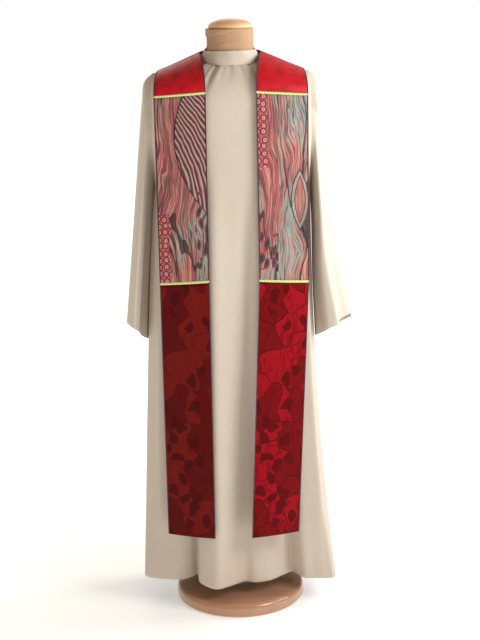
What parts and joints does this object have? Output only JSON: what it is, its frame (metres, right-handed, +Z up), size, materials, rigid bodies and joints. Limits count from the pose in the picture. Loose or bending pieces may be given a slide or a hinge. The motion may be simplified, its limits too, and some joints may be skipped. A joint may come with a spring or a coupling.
{
  "type": "alb with stole on a display form",
  "caption": "Floor-length off-white alb with band collar and bell sleeves under a wide red stole with printed panels, on a height-adjustable display form with a round wooden base.",
  "frame": {"origin": "centre of the round base's underside", "axes": "+Z up the pole, the vestment's front faces -Y, +X to the viewer's right"},
  "size_m": [0.6214, 0.363, 1.6204],
  "materials": {
    "varnished_beech": "satin",
    "turned_beech": "satin",
    "steel": "satin",
    "black_plastic": "satin",
    "torso_shell": "matte",
    "plywood": "matte",
    "linen": "matte",
    "alb_cloth": "matte",
    "button": "gloss",
    "red_satin": "satin",
    "printed_cloth": "matte",
    "red_damask": "satin",
    "piping": "matte",
    "lining": "satin"
  },
  "bodies": {
    "stand": {"base_disc": "varnished_beech", "pole_flange": "steel", "flange_screw_1": "steel", "flange_screw_2": "steel", "flange_screw_3": "steel", "flange_screw_4": "steel", "outer_pole": "steel", "guide_bush": "black_plastic", "clamp_collar": "steel"},
    "knob": {"clamp_knob": "black_plastic"},
    "mast": {"inner_pole": "steel", "mast_ring": "steel"},
    "form": {"torso_front": "torso_shell", "torso_back": "torso_shell", "torso_bottom_board": "plywood", "mast_socket": "steel", "neck_block": "plywood", "neck_cover": "linen", "neck_cap": "turned_beech"},
    "alb": {"alb_front": "alb_cloth", "alb_back_left": "alb_cloth", "alb_back_right": "alb_cloth", "alb_collar": "alb_cloth", "back_placket": "alb_cloth", "back_button_1": "button", "back_button_2": "button", "back_button_3": "button"},
    "sleeve_left": {"alb_sleeve_left": "alb_cloth"},
    "sleeve_right": {"alb_sleeve_right": "alb_cloth"},
    "stole": {"stole_nape": "red_satin", "stole_yoke_left": "red_satin", "piping_upper_left": "piping", "stole_print_left": "printed_cloth", "piping_lower_left": "piping", "stole_tail_left": "red_damask", "stole_lining_left": "lining", "stole_yoke_right": "red_satin", "piping_upper_right": "piping", "stole_print_right": "printed_cloth", "piping_lower_right": "piping", "stole_tail_right": "red_damask", "stole_lining_right": "lining"}
  },
  "joints": [
    {"name": "clamp_knob_turn", "type": "hinge", "parent": "stand", "child": "knob", "pos_m": [0.04, 0, 0.682], "axis": [1, 0, 0], "range_deg": [0, 360]},
    {"name": "height_slide", "type": "slide", "parent": "stand", "child": "mast", "axis": [0, 0, 1], "range_m": [-0.02, 0.25]},
    {"name": "form_swivel", "type": "hinge", "parent": "mast", "child": "form", "pos_m": [0, 0, 0.8], "axis": [0, 0, 1], "continuous": true},
    {"name": "alb_lift_off", "type": "slide", "parent": "form", "child": "alb", "axis": [0, 0, 1], "range_m": [0, 1.7]},
    {"name": "sleeve_left_lift", "type": "hinge", "parent": "alb", "child": "sleeve_left", "pos_m": [-0.2088, 0, 1.4807], "axis": [0, 1, 0], "range_deg": [0, 50]},
    {"name": "sleeve_right_lift", "type": "hinge", "parent": "alb", "child": "sleeve_right", "pos_m": [0.2088, 0, 1.4807], "axis": [0, -1, 0], "range_deg": [0, 50]},
    {"name": "stole_lift_off", "type": "slide", "parent": "alb", "child": "stole", "axis": [0, 0, 1], "range_m": [0, 1.6]}
  ]
}
